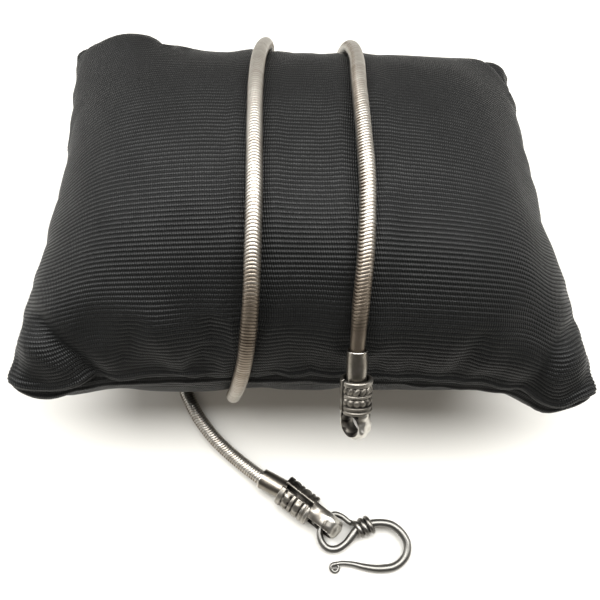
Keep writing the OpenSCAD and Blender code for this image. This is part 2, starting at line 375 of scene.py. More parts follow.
def ribbed_fabric(name):
    """Ribbed cloth: the ribs are geometry, and the fine threads wound across each rib are in the bump. Its
    colour holds painted shade in the grooves and a painted highlight on the tops of the threads.
    """
    material, nodes, bsdf = shader(name)
    across = nodes.split(nodes.attribute("cloth", "Vector"))[0]
    wave = nodes.math("SINE", nodes.math("MULTIPLY", across, math.pi / THREAD_PITCH))
    thread = nodes.math("POWER", nodes.math("ABSOLUTE", wave), THREAD_SHARPNESS)
    # The thread tops get a painted highlight and the rib grooves painted shade; the noise is the cloth's own
    # uneven tone
    painted_thread_highlight = nodes.math("ADD", nodes.math("MULTIPLY", thread, 0.55), 0.47)
    shade = nodes.math("MULTIPLY", nodes.attribute("rib", "Fac"), painted_thread_highlight)
    shade = nodes.math("ADD", shade, nodes.centred(nodes.noise(260, 3), 0.35), clamp=True)
    fibres = nodes.math("MULTIPLY", nodes.noise(3000, 2), 0.5)
    height = nodes.math("ADD", nodes.math("MULTIPLY", thread, 0.8), fibres)
    nodes.fill(bsdf, {
        "Base Color": nodes.ramp(shade, CLOTH_COLOURS), "Specular IOR Level": 0.195,
        "Roughness": nodes.map_range(shade, GROOVE_ROUGHNESS, THREAD_ROUGHNESS),
        "Sheen Weight": 0.01, "Sheen Roughness": 0.4, "Sheen Tint": (0.8, 0.85, 0.9, 1),
        "Normal": nodes.bump(height, 0.9, THREAD_DEPTH * MM)})
    return material


fabric = ribbed_fabric("cushion_fabric")
chain_silver = silver(
    "chain_silver", dark=(0.024, 0.016, 0.01), middle=(0.25, 0.208, 0.165),
    bright=(0.56, 0.545, 0.505), rough_worn=0.38, rough_dark=0.48, spots=0.25)
ferrule_silver = silver(
    "ferrule_silver", dark=(0.045, 0.039, 0.032), middle=(0.22, 0.2, 0.17),
    bright=(0.54, 0.51, 0.47), rough_worn=0.22, rough_dark=0.42)
cap_silver = silver(
    "cap_silver", dark=(0.02, 0.018, 0.016), middle=(0.21, 0.193, 0.168),
    bright=(0.54, 0.52, 0.48), rough_worn=0.34, rough_dark=0.52, spots=0.75)
hook_silver = silver(
    "hook_silver", dark=(0.03, 0.028, 0.026), middle=(0.16, 0.154, 0.142),
    bright=(0.215, 0.211, 0.2), rough_worn=0.32, rough_dark=0.46, spots=0.35)
binding_silver = silver(
    "binding_silver", dark=(0.014, 0.013, 0.011), middle=(0.11, 0.102, 0.09),
    bright=(0.4, 0.387, 0.36), rough_worn=0.28, rough_dark=0.45)


# The chain's line

ROUTE = [
    [9, -36.7, 32.6], [9, -34.7, 34.7], [9.4, -29.4, 40.4], [10, -23.2, 45.4], [10.4, -14, 49.2],
    [10.2, -4, 50.8], [10, 7, 50.6], [10.2, 17, 48.4], [9.8, 26, 43.8], [9, 32.8, 36.8],
    [7.8, 36.6, 27.6], [6.6, 35.8, 17.2], [5.7, 31.8, 7.2], [4.2, 24.8, 1.9], [1.8, 14, 1.5],
    [-8.8, -16, 1.5], [-11.4, -24.6, 1.9], [-12.8, -31, 7], [-12.3, -34.7, 15.2],
    [-10.6, -36, 23.4], [-8.9, -34.6, 31.4], [-7.7, -30.3, 39.3], [-7.2, -23.6, 45.1], [-7.05, -14, 49.3],
    [-7.3, -3, 50.9], [-7.5, 8, 50.7], [-7.3, 18, 48.5], [-6.6, 27, 43.7], [-6.8, 33.8, 35.8],
    [-7.8, 36.8, 26.6], [-9.4, 35.4, 16.2], [-11, 31, 6.8], [-12.7, 24.2, 1.9], [-15.4, 12, 1.5],
    [-23.4, -17, 1.4], [-25, -25, 1.4], [-22.2, -32, 1.4],
    [-18.2, -37.6, 1.4], [-13.3, -42.3, 1.7], [-7.1, -47.1, 2.8], [-4.9, -48.2, 2.9]]
ROUTE_PARTS = 24

chain_line = spline(ROUTE, ROUTE_PARTS)
chain_length = lengths(chain_line)[-1]


# The cushion's form: u runs from -1 at the left seam to 1, and v from -1 at the near seam to 1

CUSHION_W = 101
NEAR_LEFT, NEAR_RIGHT = vec(-CUSHION_W / 2, -36, 23), vec(CUSHION_W / 2, -38, 23)
FAR_LEFT, FAR_RIGHT = vec(-48.5, 38, 33), vec(45.5, 37, 28.5)
# How far the middle of each edge leaves the straight line between its ears
NEAR_PULL, FAR_PULL = vec(0, 2.6, 1), vec(0, -2.5, -6.5)
LEFT_PULL, RIGHT_PULL = vec(2.2, 0, -1.5), vec(-1.4, 0, -0.5)
# Lobes of the near edge beside its ears: u, spread, how far forward and how far down
LOBES = [(0.86, 0.09, 1.8, 2), (-0.86, 0.12, 1, 1)]
LOBE_FADE = 12
CROWN, BELLY = 26, 29
SWELL_U, SWELL_V = (3.2, 0.58), (2.28, 0.52)
# Swellings of the top at the far ears: u, v, height and spread
PUFFS = [(-0.72, 0.84, 3.6, 0.22), (0.86, 0.86, 1.6, 0.15)]
PUFF_FADE = (8, 1)
# Two points of each trough under the cushion, where the chain lies
TROUGHS = [((4.4, 24), (-11.4, -24)), ((-12.4, 24), (-24.2, -24))]
TROUGH = 4.2  # half width and height of a trough
TROUGH_LIMIT = 7  # height above which the floor and the troughs don't shape the cloth
FLOOR_GAP = 0.06
FLOOR_BLEND = 0.6


def bow(t):
    return 1 - t * t


def swell(t, power, sharpness):
    return np.maximum(0, 1 - np.abs(t) ** power) ** sharpness


def edge(start, stop, pull, t):
    return mix(start, stop, (t + 1) / 2) + pull * bow(t)


def seam_at(u, v):
    """The surface that the four edges span. Both panels meet it at the seam."""
    u, v = u[..., None], v[..., None]
    s, w = (u + 1) / 2, (v + 1) / 2
    lobes = sum(-vec(0, forward, down) * bell(u - at, spread) for at, spread, forward, down in LOBES)
    near = edge(NEAR_LEFT, NEAR_RIGHT, NEAR_PULL, u) + lobes * bow(np.abs(u) ** LOBE_FADE)
    far = edge(FAR_LEFT, FAR_RIGHT, FAR_PULL, u)
    left, right = edge(NEAR_LEFT, FAR_LEFT, LEFT_PULL, v), edge(NEAR_RIGHT, FAR_RIGHT, RIGHT_PULL, v)
    return (mix(near, far, w) + mix(left, right, s)
            - mix(mix(NEAR_LEFT, NEAR_RIGHT, s), mix(FAR_LEFT, FAR_RIGHT, s), w))


def swell_at(u, v):
    return swell(u, *SWELL_U) * swell(v, *SWELL_V)


def top_point(u, v):
    puffs = sum(height * bell(np.hypot(u - at_u, v - at_v), spread) for at_u, at_v, height, spread in PUFFS)
    p = seam_at(u, v)
    p[..., 2] += CROWN * swell_at(u, v) + puffs * swell(u, *PUFF_FADE) * swell(v, *PUFF_FADE)
    return p


def floor_height(x, y):
    """The lowest that the underside may lie: over the floor, or over the chain in a trough."""
    height = np.full(x.shape, FLOOR_GAP)
    for (ax, ay), (bx, by) in TROUGHS:
        aside = np.abs((bx - ax) * (y - ay) - (by - ay) * (x - ax)) / math.hypot(bx - ax, by - ay)
        height = np.maximum(height, TROUGH * bow(aside / TROUGH))
    return height


def under_point(u, v):
    p = seam_at(u, v)
    low = p[..., 2] - BELLY * swell_at(u, v)
    floor = floor_height(p[..., 0], p[..., 1])
    soft = 0.5 * (low + floor + np.sqrt((low - floor) ** 2 + FLOOR_BLEND ** 2))
    p[..., 2] = np.where(low > TROUGH_LIMIT, low, np.minimum(soft, np.maximum(p[..., 2], floor)))
    return p


# The cushion's cloth: creases, swellings and simulated wrinkles

# Creases that the photo shows: points along each, its depth and its half width
CREASES = [
    ([(-45, -25, 31), (-42, -30, 31.7), (-39.5, -32.4, 30.6), (-37, -34, 28.6), (-35, -35, 25)], 1.5, 2.2),
    ([(46.5, -24, 28), (45.4, -28, 29.5), (43, -32, 30.4), (40.6, -35, 28.5), (38.6, -37, 25)], 0.7, 2.4),
    ([(-28, 24, 43), (-26.5, 29, 41), (-24.5, 32.5, 38), (-23, 35.5, 33)], 1.5, 2.0),
    ([(36, 35, 31), (38.5, 32, 35), (41, 28.5, 35.5), (43, 24, 34)], 1.3, 1.5),
    ([(-20, -35.2, 25), (-17, -33.8, 29), (-14.6, -32.2, 32.5), (-13.6, -30.4, 35)], 0.8, 1.5),
    ([(-30, -34.6, 27), (-28.6, -33, 31), (-26.6, -30.6, 34.6)], 0.7, 1.6),
    ([(26, -36, 26.5), (27.5, -34.4, 30.5), (29, -32, 34)], 0.6, 1.6),
]
CREASE_START = 0.25  # share of the depth at a crease's first point
# A crease is a valley between two low rises: their heights, and how much wider the rises are
VALLEY, RISE, RISE_WIDTH = 1.3, 0.45, 2.6
# Wide swellings and hollows: centre, height and radius
SWELLINGS = [
    ((-34, -31.6, 33.4), -1.4, 4.6), ((-44.5, -31, 29.5), 1.0, 4.0), ((-22.5, -31, 34.5), 1.1, 4.2),
    ((45, -33, 28.5), 1.2, 4.2), ((37, -30, 34), -0.5, 4.5), ((42, 32.6, 32), 1.0, 3.2),
    ((-33, 31, 40.5), 0.9, 6.0), ((-44, 5, 33), -0.5, 7), ((43.5, -10, 34), -0.5, 7),
]
EVEN_SHARE = 0.45  # how far the columns are even, and not closer together at the side seams
ROW_SAMPLES = 1501

CLOTH_COLUMNS, CLOTH_ROWS = 73, 57
CLOTH_SCALE = 10  # the cloth is simulated ten times as large, a size that its solver is made for
CLOTH_FRAMES = 20
CLOTH_SETTINGS = dict(quality=7, mass=0.25, tension_stiffness=25, compression_stiffness=25, shear_stiffness=8,
                      bending_stiffness=0.06, shrink_min=-0.035, use_pressure=True, uniform_pressure_force=4)
CLOTH_CAP = 2.6  # the furthest that a wrinkle may move a point
FLOOR_HOLD, CHAIN_HOLD = 1.2, 2.6  # the cloth is held below this height, and nearer than this to the chain
START_UNEVEN = 0.05
CUSHION_MIDDLE = vec(0, 0, 20)
BROAD_PASSES, BROAD_SHARE, FINE_PASSES = 60, 0.75, 2


def seam_to_seam(samples):
    """Values of u or v from seam to seam, closer together at the seams."""
    return np.sin(0.5 * math.pi * np.linspace(-1, 1, samples))


def cloth_grid(columns, rows):
    """u and v of a grid of the cloth, its rows evenly spaced along each column of the top panel."""
    u = mix(seam_to_seam(columns), np.linspace(-1, 1, columns), EVEN_SHARE)
    v = seam_to_seam(ROW_SAMPLES)
    share = np.linspace(0, 1, rows)
    at = np.empty((rows, columns))
    for k, x in enumerate(u):
        along = lengths(top_point(np.full_like(v, x), v))
        at[:, k] = np.interp(share * along[-1], along, v)
    return np.repeat(u[None], rows, 0), at


def panel_normal(p, side):
    return unit(np.cross(np.gradient(p, axis=1), np.gradient(p, axis=0))) * side


def line_distance(p, line):
    """Distance of each point of p from a line, and the share of the line's length where it is nearest."""
    distance = np.array([np.linalg.norm(p - q, axis=-1) for q in line])
    share = lengths(line) / lengths(line)[-1]
    return distance.min(0), share[distance.argmin(0)]


def fold_cloth(p):
    """Adds the creases and swellings that the photo shows to the top panel."""
    move = np.zeros(p.shape[:-1])
    for points, depth, width in CREASES:
        distance, at = line_distance(p, spline(points, 8))
        fade = CREASE_START + (1 - CREASE_START) * smoothstep(0, 0.3, at)
        move -= depth * fade * (VALLEY * bell(distance, width) - RISE * bell(distance, RISE_WIDTH * width))
    for centre, height, radius in SWELLINGS:
        move += height * bell(np.linalg.norm(p - np.array(centre), axis=-1), radius)
    return p + panel_normal(p, 1) * move[..., None]


def simulate_cloth(top, under):
    """Blows the two sewn panels up as slack cloth. Returns how far the points of each panel move."""
    border = border_of(*top.shape[:2])
    faces, used = sew_panels(border)
    rest = np.concatenate([top.reshape(-1, 3), under.reshape(-1, 3)])[used]
    held = np.tile(border.ravel(), 2)[used]
    held |= rest[:, 2] < FLOOR_HOLD
    chain = resample(chain_line, np.arange(0, chain_length, 1.0))
    held |= line_distance(rest, chain)[0] < CHAIN_HOLD
    uneven = waves(61, 24, 0.3, 1.1, 3)(*rest.T)
    start = rest + START_UNEVEN * uneven[:, None] * unit(rest - CUSHION_MIDDLE) * ~held[:, None]
    mesh = bpy.data.meshes.new("cloth")
    mesh.from_pydata((start * MM * CLOTH_SCALE).tolist(), [], faces.tolist())
    obj = bpy.data.objects.new("cloth", mesh)
    scene = bpy.context.scene
    scene.collection.objects.link(obj)
    pinned = obj.vertex_groups.new(name="pinned")
    pinned.add(np.flatnonzero(held).tolist(), 1.0, "REPLACE")
    modifier = obj.modifiers.new("cloth", "CLOTH")
    for key, value in CLOTH_SETTINGS.items():
        setattr(modifier.settings, key, value)
    modifier.settings.vertex_group_mass = pinned.name
    modifier.settings.effector_weights.gravity = 0
    modifier.point_cache.frame_start = 1
    modifier.point_cache.frame_end = CLOTH_FRAMES
    for frame_number in range(1, CLOTH_FRAMES + 1):
        scene.frame_set(frame_number)
    shaped = obj.evaluated_get(bpy.context.evaluated_depsgraph_get()).data
    end = np.empty(rest.size, np.float32)
    shaped.vertices.foreach_get("co", end)
    bpy.data.objects.remove(obj)
    bpy.data.meshes.remove(mesh)
    scene.frame_set(1)
    moves = np.zeros((len(used), 3))
    moves[used] = end.reshape(-1, 3) / (MM * CLOTH_SCALE) - rest
    return moves.reshape(2, *top.shape)


def neighbour_mean(grid):
    return (grid[:-2, 1:-1] + grid[2:, 1:-1] + grid[1:-1, :-2] + grid[1:-1, 2:]) / 4


def wrinkle_part(move):
    """What is left of a move without its broad swelling, smoothed and capped."""
    broad = move.copy()
    for _ in range(BROAD_PASSES):
        broad[1:-1, 1:-1] = neighbour_mean(broad)
    fine = move - BROAD_SHARE * broad
    for _ in range(FINE_PASSES):
        fine[1:-1, 1:-1] = mix(fine[1:-1, 1:-1], neighbour_mean(fine), 0.5)
    size = np.linalg.norm(fine, axis=-1, keepdims=True)
    return fine * (CLOTH_CAP / np.maximum(CLOTH_CAP, size))


def blend_weights(fine, coarse):
    """Rows of weights that read the fine samples from a smooth curve through the coarse ones."""
    at = np.linspace(0, coarse - 1, fine)
    k = np.clip(np.floor(at).astype(int), 0, coarse - 2)
    t = at - k
    values = (-0.5 * t + t * t - 0.5 * t ** 3, 1 - 2.5 * t * t + 1.5 * t ** 3,
              0.5 * t + 2 * t * t - 1.5 * t ** 3, -0.5 * t * t + 0.5 * t ** 3)
    weights = np.zeros((fine, coarse))
    for shift, value in zip((-1, 0, 1, 2), values):
        np.add.at(weights, (np.arange(fine), np.clip(k + shift, 0, coarse - 1)), value)
    return weights


def cloth_moves(rows, columns):
    """The simulated wrinkles of both panels, on the fine grid."""
    u, v = cloth_grid(CLOTH_COLUMNS, CLOTH_ROWS)
    moves = simulate_cloth(fold_cloth(top_point(u, v)), under_point(u, v))
    by_row = blend_weights(rows, CLOTH_ROWS)
    by_column = blend_weights(columns, CLOTH_COLUMNS)
    return [np.einsum("ri,ijk,cj->rck", by_row, wrinkle_part(move), by_column) for move in moves]


# The cushion's fine surface

RIB_PITCH = 0.77
ROWS_PER_RIB = 5
COLUMNS = 72
LENGTH_SAMPLES = 4001
RIB_HEIGHT, RIB_UNEVEN = 0.135, 0.12
# RIB_ROUNDNESS shapes the ribs, and RIB_SHADE the painted shade that darkens the grooves between them
RIB_ROUNDNESS, RIB_SHADE = 0.7, 1.1
SEAM_SINK = 0.5
LOWEST = 0.04
ROLL_HEIGHT = 0.35
# Share of the wrinkles that the cloth's tight middle shows, and what the slack beside the seams adds to it
TIGHT, SLACK = 0.22, 0.78
# Height of the chain's line over the cloth, by the distance beside it
PRESS = [(0, 1.44), (1.0, 1.44), (1.8, 1.2), (2.6, 1.05), (3.6, 1.15), (5, 1.4), (8, 1.75)]
PRESS_START, PRESS_STEP = 3.5, 0.25
PRESS_DOWN, PRESS_UP = -0.3, 1.0


def cloth_distance(p, axis):
    """Distance over the cloth from the near seam on axis 0, or from the left seam on axis 1."""
    return np.insert(np.cumsum(np.linalg.norm(np.diff(p, axis=axis), axis=-1), axis), 0, 0, axis)


def chain_press(p, normal):
    """How far the cloth rises to meet the chain, so that the chain lies in a shallow crease."""
    line = resample(chain_line, np.arange(PRESS_START, chain_length, PRESS_STEP))
    tree = KDTree(len(line))
    for i, q in enumerate(line):
        tree.insert(q, i)
    tree.balance()
    near = np.array([tree.find(q)[0] for q in p.reshape(-1, 3)]).reshape(p.shape)
    away = near - p
    above = (away * normal).sum(-1)
    beside = np.sqrt(np.maximum((away ** 2).sum(-1) - above * above, 0))
    lift = np.clip(above - follow(PRESS, beside), PRESS_DOWN, PRESS_UP) * (1 - smoothstep(3.2, 8, beside))
    return lift * bell(np.maximum(above - 1.8, 0), 0.7) * (above > 0)


def finish_panel(p, side, move, rib_count):
    """Gives a panel its wrinkles, puckers, lip, chain crease and ribs.

    Returns its points, their distance from the left seam, and the painted shade of the ribs, 0 in a groove."""
    along, across = cloth_distance(p, 0), cloth_distance(p, 1)
    near, far, left, right = along, along[-1:] - along, across, across[:, -1:] - across
    inside = np.minimum(np.minimum(near, far), np.minimum(left, right))
    normal = panel_normal(p, side)
    # Puckers where the stuffing pulls on the stitches: height, distance from the seam, spread and shift
    pucker = waves(3 + side, 9, 0.3, 1.1, 1)
    relief = np.zeros(inside.shape)
    for seam, place, height, at, spread, shift in (
            (near, across, 0.11, 2.5, 3, 0), (far, across, 0.11, 2.5, 3, 40),
            (left, along, 0.1, 3, 4, 90), (right, along, 0.1, 3, 4, 150)):
        relief += height * bell(seam - at, spread) * pucker(place + shift)
    # A slow roll of the stuffing
    roll = waves(11 + side, 12, 0.03, 0.16, 2)
    relief += ROLL_HEIGHT * roll(across, along) * smoothstep(0, 14, inside)
    # A rolled lip beside the seam
    lip = 0.75 * bell(inside - 1.5, 0.9) - 0.25 * bell(inside, 0.5)
    # The stuffing pulls the cloth smooth in the middle, and leaves it slack near the seams
    slack = TIGHT + SLACK * bell(np.maximum(inside - 4, 0), 7)
    relief = smoothstep(0, 1.2, inside) * relief + lip * smoothstep(0, 0.4, inside)
    p = p + move * slack[..., None] + normal * relief[..., None]
    if side > 0:
        p = p + normal * chain_press(p, normal)[..., None]
    normal = panel_normal(p, side)
    round_top = np.abs(np.sin(math.pi * rib_count))
    uneven = waves(21, 14, 0.1, 1.2, 2)(across, along * 0.5)
    height = RIB_HEIGHT * (1 + RIB_UNEVEN * uneven) * smoothstep(0, 0.8, inside)
    p = p + normal * (height * (round_top ** RIB_ROUNDNESS - 0.5))[..., None]
    if side < 0:
        p[..., 2] = np.maximum(p[..., 2], LOWEST)
    return p, across, round_top ** RIB_SHADE


def make_cushion():
    # Ribs are evenly spaced along the cloth, from the near seam to the far one
    v = seam_to_seam(LENGTH_SAMPLES)
    ribs = round(lengths(top_point(np.zeros_like(v), v))[-1] / RIB_PITCH)
    rows, columns = ribs * ROWS_PER_RIB + 1, COLUMNS + 1
    u, v = cloth_grid(columns, rows)
    rib_count = np.repeat(np.linspace(0, ribs, rows)[:, None], columns, 1)
    moves = cloth_moves(rows, columns)
    panels = [finish_panel(fold_cloth(top_point(u, v)), 1, moves[0], rib_count),
              finish_panel(under_point(u, v), -1, moves[1], rib_count)]
    # The stitched seam lies a little inside the two lips
    seam = seam_at(u, v)
    seam = seam - SEAM_SINK * unit(seam * vec(1, 1, 0))
    border = border_of(rows, columns)
    for p, across, shade in panels:
        p[border] = seam[border]
    faces, used = sew_panels(border)
    verts = np.concatenate([p.reshape(-1, 3) for p, across, shade in panels])
    cloth = np.concatenate([np.stack([across.ravel(), rib_count.ravel(), np.zeros(across.size)], 1)
                            for p, across, shade in panels])
    # The painted shade of the ribs, darkest in the grooves, goes to the cloth's colour
    rib = np.concatenate([shade.ravel() for p, across, shade in panels])
    obj = add_mesh("cushion_cover", verts[used], faces, {"cloth": cloth[used], "rib": rib[used]},
                   fabric, "cushion")


# The chain

CHAIN_R, TIP_R = 1.35, 1.15
TIP_FROM, TIP_TO = 3.2, 10.5
SMOOTH_TIP = (5.5, 9.0)  # the rings begin between these distances
RING_PITCH = 0.55
ROWS_PER_RING = 4
CHAIN_SIDES = 24
FIRST_NORMAL = (0.1, 0.2, 1)
CAMERA_PLACE = vec(0, -75.05, 120.39)
# Where the rings' low points stand: distance along the chain, and degrees to the left of the camera's side
LOW_POINTS = [(45, 35), (235, 90)]
# Painted shade on the chain's front slopes close to the near seam: distance along the chain, half length and
# how much
PAINTED_SHADE_STRETCHES = [(8, 9, 0.7), (213, 10, 0.76), (204, 5, 0.2)]


def low_angles(s, line, normals, binormals):
    """Angle of the rings' low points at each distance along the chain."""
    angles = []
    for at, shift in LOW_POINTS:
        k = int(at * ROWS_PER_RING / RING_PITCH)
        to_camera = unit(CAMERA_PLACE - line[k])
        angle = math.atan2(to_camera @ binormals[k], to_camera @ normals[k])
        turn = math.atan2(-binormals[k][0], -normals[k][0]) - angle
        turn = (turn + math.pi) % TAU - math.pi
        angles.append(angle + math.copysign(math.radians(shift), turn))
    # A ring looks the same after half a turn, so the second angle takes the short way from the first
    angles[1] = angles[0] + (angles[1] - angles[0] + math.pi / 2) % math.pi - math.pi / 2
    return np.interp(s, [at for at, shift in LOW_POINTS], angles)


def make_chain():
    s = np.arange(0, chain_length, RING_PITCH / ROWS_PER_RING)
    line = resample(chain_line, s)
    tangents, normals, binormals = path_frames(line, FIRST_NORMAL)
    angle = (TAU * np.arange(CHAIN_SIDES) / CHAIN_SIDES)[None, :]
    wave = np.cos(2 * (angle - low_angles(s, line, normals, binormals)[:, None]))
    in_ring = (np.arange(len(s)) % ROWS_PER_RING)[:, None]
    full = smoothstep(*SMOOTH_TIP, s)[:, None]
    radius = np.interp(s, (TIP_FROM, TIP_TO), (TIP_R, CHAIN_R))[:, None]
    # Each ring is nearly flush with the next, with a thin dark gap that opens to a dot at the low points
    dot = np.clip((wave - 0.72) / 0.28, 0, 1)
    valley = np.where(in_ring == 0, 0.05 + 0.12 * dot, 0.01 * (in_ring != 2))
    gap = RING_PITCH * (0.14 - 0.05 * dot)
    slide = np.where(in_ring == 1, -gap, np.where(in_ring == 3, gap, 0))
    uneven = waves(5, 8, 0.1, 0.6, 1)(s)[:, None] * 0.008
    radius = radius * (1 - valley * full / CHAIN_R + uneven * full)
    ring = normals[:, None] * np.cos(angle)[..., None] + binormals[:, None] * np.sin(angle)[..., None]
    points = line[:, None] + radius[..., None] * ring
    points = points + tangents[:, None] * (full * (slide - 0.22 * wave))[..., None]
    # Wear is even on the smooth tip, differs a little from ring to ring, and leaves the gaps dark
    each = np.random.default_rng(7).uniform(-0.09, 0.09, len(s) // ROWS_PER_RING + 1)
    each = np.repeat(each, ROWS_PER_RING)[:len(s), None]
    wear_and_painted_shade = (np.where(in_ring == 0, 0.02, 0.78) + each * (in_ring != 0)) * full + 0.7 * (1 - full)
    wear_and_painted_shade = wear_and_painted_shade - 0.5 * dot * (in_ring != 2) * full
    # The painted shade darkens the flanks of each ring more than its middle
    painted_shade_weight = 1 + np.where(in_ring == 2, -0.28, 0.12) * full
    for at, spread, amount in PAINTED_SHADE_STRETCHES:
        wear_and_painted_shade = wear_and_painted_shade * (1 - painted_shade_weight * amount * bell(s - at, spread)[:, None])
    parts = Parts()
    parts.closed_tube(points, wear_and_painted_shade, flip=True)
    parts.make("snake_chain", chain_silver, "chain_silver", "chain")


# The ends: ferrules, and barrels of rolled strip with a band eye

SLIP = 0.1
FERRULE_WALL = 0.22
FERRULE_SIDES, FERRULE_ROWS = 72, 26
CUP_DEPTH = 1.1
STRIP_T = 0.45
CUP_WALL = 0.15
BEADS = 14
# Raised bands round the strip: first and last height as shares of its length, and how high they stand
BANDS = [(0, 0.165, 1.0), (0.38, 0.51, 0.9), (0.74, 0.862, 0.92), (0.88, 1, 1.0)]
BAND_SLOPE, BAND_LAP = 0.208, 0.02
SHOULDER = 0.62
# Rows of beads: place and half height as shares of the strip's length, slant, and length over their step
BEAD_ROWS = [(0.272, 0.094, 0.85, 1.6), (0.625, 0.118, 0.0, 1.12)]
BEAD_TOP = 0.98
STRIP_COLUMNS, STRIP_ROWS, CORE_SIDES, STRAP_SIDES = 168, 84, 64, 40
DENT_DEPTH = 0.02
# Width and wear of the eye's strap, by the share of its length
STRAP_WIDTH = [(0, 0.96), (0.25, 0.98), (0.5, 1.0), (0.75, 0.98), (1, 0.96)]
STRAP_WEAR = [(0, 0.2), (0.12, 0.45), (0.35, 0.8), (0.65, 0.8), (0.88, 0.45), (1, 0.2)]

LOOP_RIM, LOOP_SLOPE = vec(9, -38, 31.4), 46
HOOK_RIM, HOOK_HEADING, HOOK_FERRULE_HEADING = vec(-3.2, -49, 2.9), -37, -28
LOOP_FERRULE_D, LOOP_FERRULE_LENGTH = 3.3, 5.8
HOOK_FERRULE_D, HOOK_FERRULE_LENGTH, HOOK_FERRULE_IN = 3.8, 5.4, 0.7

# Sizes, then the looks: domes are how far the strap bulges out and into its hole, bead_floor is the height of
# the worn band that the beads grow from, plain_side says at which edge of the seam the strip is plain, and
# the field after wear darkens the strip just beyond the seam with painted shade
LOOP = SimpleNamespace(
    diameter=5.3, length=5.6, seam=0.6, seam_turn=157, eye_d=4.6, hole_d=3.2, eye_width=2.8, reach=2.4,
    hole_turn=138, dome=0.16, hole_dome=0.34, bead_floor=0.4, wear=0.4, painted_shade=0, plain_side=1,
    eye_wear=2.0, crumple=0.14, seed=41)
HOOK_END = SimpleNamespace(
    diameter=5.8, length=6.8, seam=0.9, seam_turn=168, eye_d=4.9, hole_d=3.5, eye_width=3.4, reach=3.5,
    hole_turn=90, dome=0.4, hole_dome=0.05, bead_floor=0.8, wear=0.58, painted_shade=0.75, plain_side=-1,
    eye_wear=1.3, crumple=0.08, seed=42)


def make_ferrule(name, node, diameter, length, place, seed):
    """A thin tube with a rolled lip at its mouth, z = 0, and its end at z = length."""
    r = diameter / 2
    inner = r - FERRULE_WALL
    rows = [(r - 0.16, 0.0, 0.7), (r - 0.03, 0.03, 1.0), (r + 0.015, 0.14, 1.0), (r, 0.26, 0.5)]
    rows += [(r, z, 0.42) for z in np.linspace(0.35, length - 0.15, FERRULE_ROWS)]
    rows += [(r - 0.04, length - 0.04, 0.5), (r - 0.12, length, 0.2), (inner, length - 0.02, 0.0),
             (inner, length * 0.5, 0.0), (inner, 0.4, 0.1), (inner + 0.02, 0.1, 0.45)]
    z = np.array(rows)[:, 1][:, None]
    angle = TAU * np.arange(FERRULE_SIDES) / FERRULE_SIDES
    dents = DENT_DEPTH * waves(seed, 10, 0.6, 2.2, 2)(angle[None, :] * r, z) * smoothstep(0.2, 0.8, z)
    parts = Parts()
    parts.lathe(rows, FERRULE_SIDES, dents)
    parts.make(name, ferrule_silver, "ferrule_silver", node, place)


def strip_height(z, a, cap):
    """Height of the rolled strip's pattern above its floor, from 0 to 1, at height z and angle a."""
    length, radius = cap.length, cap.diameter / 2
    h = np.zeros(np.broadcast(z, a).shape)
    h = np.maximum(h, SHOULDER * smoothstep(0.8, 0.86, z / length))
    for first, last, top in BANDS:
        rise = smoothstep(first * length - BAND_LAP, first * length + BAND_SLOPE, z) if first > 0 else 1
        drop = smoothstep(last * length - BAND_SLOPE, last * length + BAND_LAP, z) if last < 1 else 0
        h = np.maximum(h, top * rise * (1 - drop))
    step = TAU / BEADS
    for row, high, slant, long in BEAD_ROWS:
        up = z - row * length
        for shift in (-1, 0, 1):
            beside = (np.mod(a, step) - step / 2 + shift * step) * radius
            x = (beside * math.cos(slant) + up * math.sin(slant)) / (0.5 * step * radius * long)
            y = (-beside * math.sin(slant) + up * math.cos(slant)) / (high * length)
            h = np.maximum(h, BEAD_TOP * np.maximum(0, 1 - x ** 2 - y ** 2) ** 0.5)
        # The beads grow out of a low worn band
        h = np.maximum(h, cap.bead_floor * smoothstep(1.0, 0.6, np.abs(up) / (high * length)))
    return h


